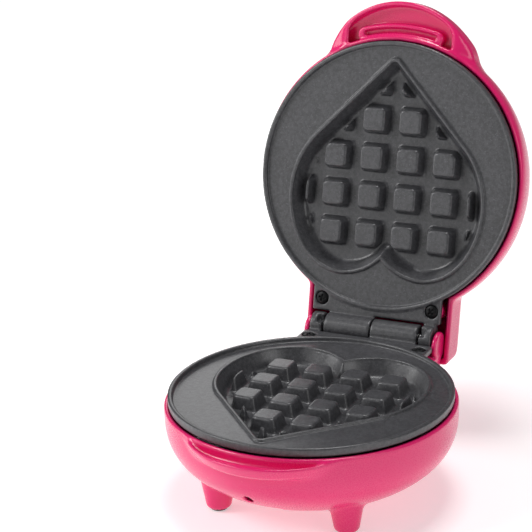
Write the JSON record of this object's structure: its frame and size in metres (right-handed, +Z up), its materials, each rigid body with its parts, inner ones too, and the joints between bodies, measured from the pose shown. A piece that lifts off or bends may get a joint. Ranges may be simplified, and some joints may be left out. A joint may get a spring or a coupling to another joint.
{
  "type": "waffle maker",
  "caption": "Mini electric waffle maker: round clamshell body on four feet, two hinged non-stick plates with heart cavities, lid held open on its stop, no cord.",
  "frame": {"origin": "centre of the bounding box in plan, on the surface that the feet stand on, with the lid open on its stop", "axes": "X across the hinge, +X to the right seen from the grip; +Y from the grip back towards the hinge; +Z up"},
  "size_m": [0.126, 0.2062, 0.1899],
  "materials": {
    "pink_plastic": "glossy moulded plastic",
    "nonstick_casting": "cast aluminium with dark grey non-stick coating",
    "black_screw": "black oxide steel",
    "bright_steel": "bright steel",
    "heater_sheath": "dull steel sheath",
    "aluminised_sheet": "bright aluminised sheet",
    "amber_lens": "translucent amber plastic",
    "lamp_glass": "clear glass",
    "black_rubber": "matte rubber",
    "ceramic": "matte white ceramic-filled plastic"
  },
  "bodies": {
    "base": {"lower_housing": "pink_plastic", "base_cover": "pink_plastic", "lower_plate": "nonstick_casting", "lower_heating_element": "heater_sheath", "lower_reflector": "aluminised_sheet", "thermostat": "ceramic", "terminal_block": "ceramic", "lower_thermal_fuse": "bright_steel", "hinge_pin": "bright_steel", "cord_gland": "black_rubber", "base_cover_screw_1": "black_screw", "base_cover_screw_2": "black_screw", "base_cover_screw_3": "black_screw", "foot_pad_front_left": "black_rubber", "foot_pad_front_right": "black_rubber", "foot_pad_rear_left": "black_rubber", "foot_pad_rear_right": "black_rubber", "lower_plate_screw_left": "black_screw", "lower_plate_screw_right": "black_screw"},
    "lid": {"upper_housing": "pink_plastic", "upper_plate": "nonstick_casting", "upper_heating_element": "heater_sheath", "upper_reflector": "aluminised_sheet", "upper_thermal_fuse": "bright_steel", "indicator_lens": "amber_lens", "lamp_holder": "ceramic", "indicator_lamp": "lamp_glass", "upper_plate_screw_left": "black_screw", "upper_plate_screw_right": "black_screw"}
  },
  "joints": [
    {"name": "lid_hinge", "type": "hinge", "parent": "base", "child": "lid", "pos_m": [0, 0.03831, 0.04648], "axis": [1, 0, 0], "range_deg": [0, 103.5]}
  ]
}
